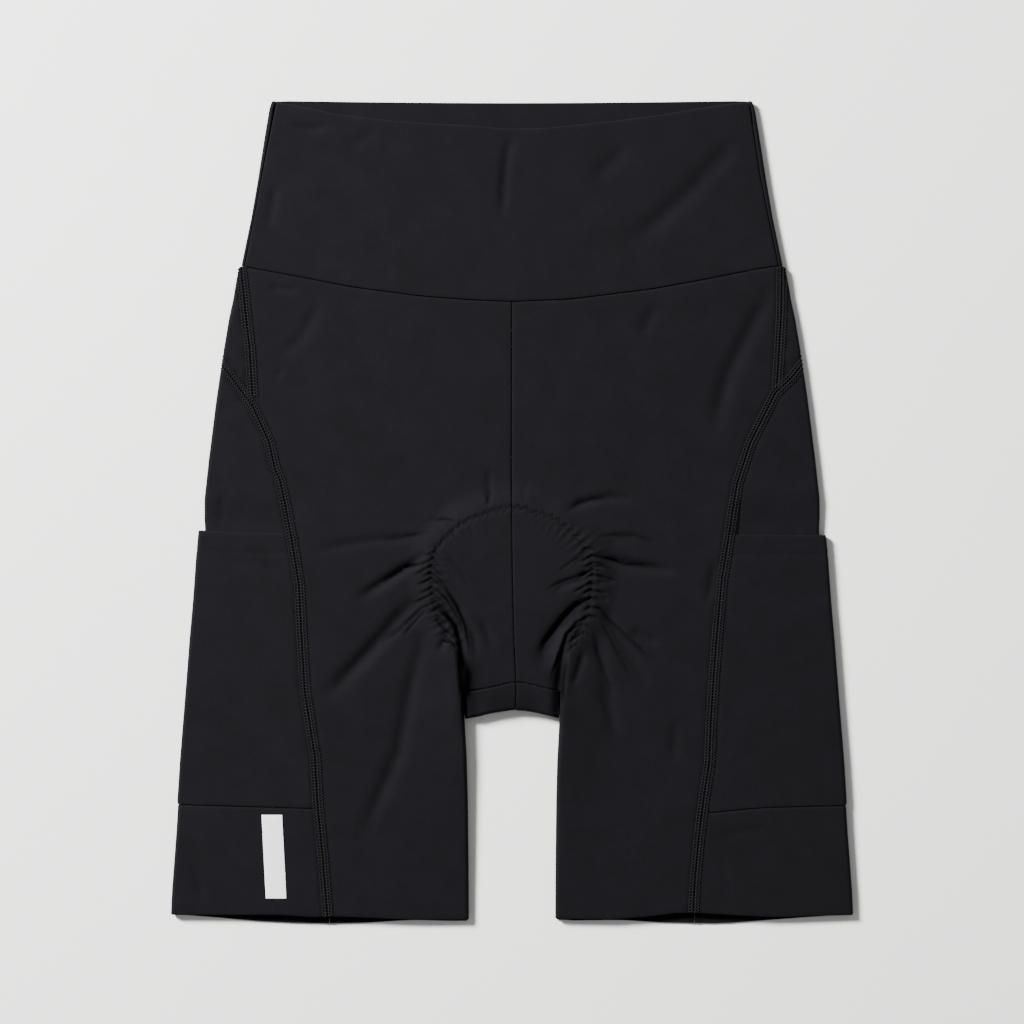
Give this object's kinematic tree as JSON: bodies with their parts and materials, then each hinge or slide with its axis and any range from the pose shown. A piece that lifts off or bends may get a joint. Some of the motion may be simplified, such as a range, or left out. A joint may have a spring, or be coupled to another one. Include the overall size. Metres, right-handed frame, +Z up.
{
  "type": "padded cycling shorts",
  "caption": "High-waisted padded cycling shorts laid flat, front up, with a wide waistband, arched side panels, thigh pockets and lower bands.",
  "frame": {"origin": "middle of the outline, on the surface that the shorts lie on", "axes": "+X to the wearer's left, +Y towards the waist, +Z up out of the surface, through the front"},
  "size_m": [0.4224, 0.5095, 0.0107],
  "materials": {
    "knit": "black matt interlock knit with a faint sheen",
    "pad_foam": "dark brushed foam pad",
    "reflective_tape": "pale silver heat-bonded tape"
  },
  "bodies": {
    "root": {"waistband_front": "knit", "waistband_back": "knit", "front_right": "knit", "front_left": "knit", "back_right": "knit", "back_left": "knit", "side_right": "knit", "side_left": "knit", "pocket_right": "knit", "pocket_left": "knit", "lower_band_right": "knit", "lower_band_left": "knit", "pad": "pad_foam", "reflective_strip": "reflective_tape"}
  },
  "joints": []
}
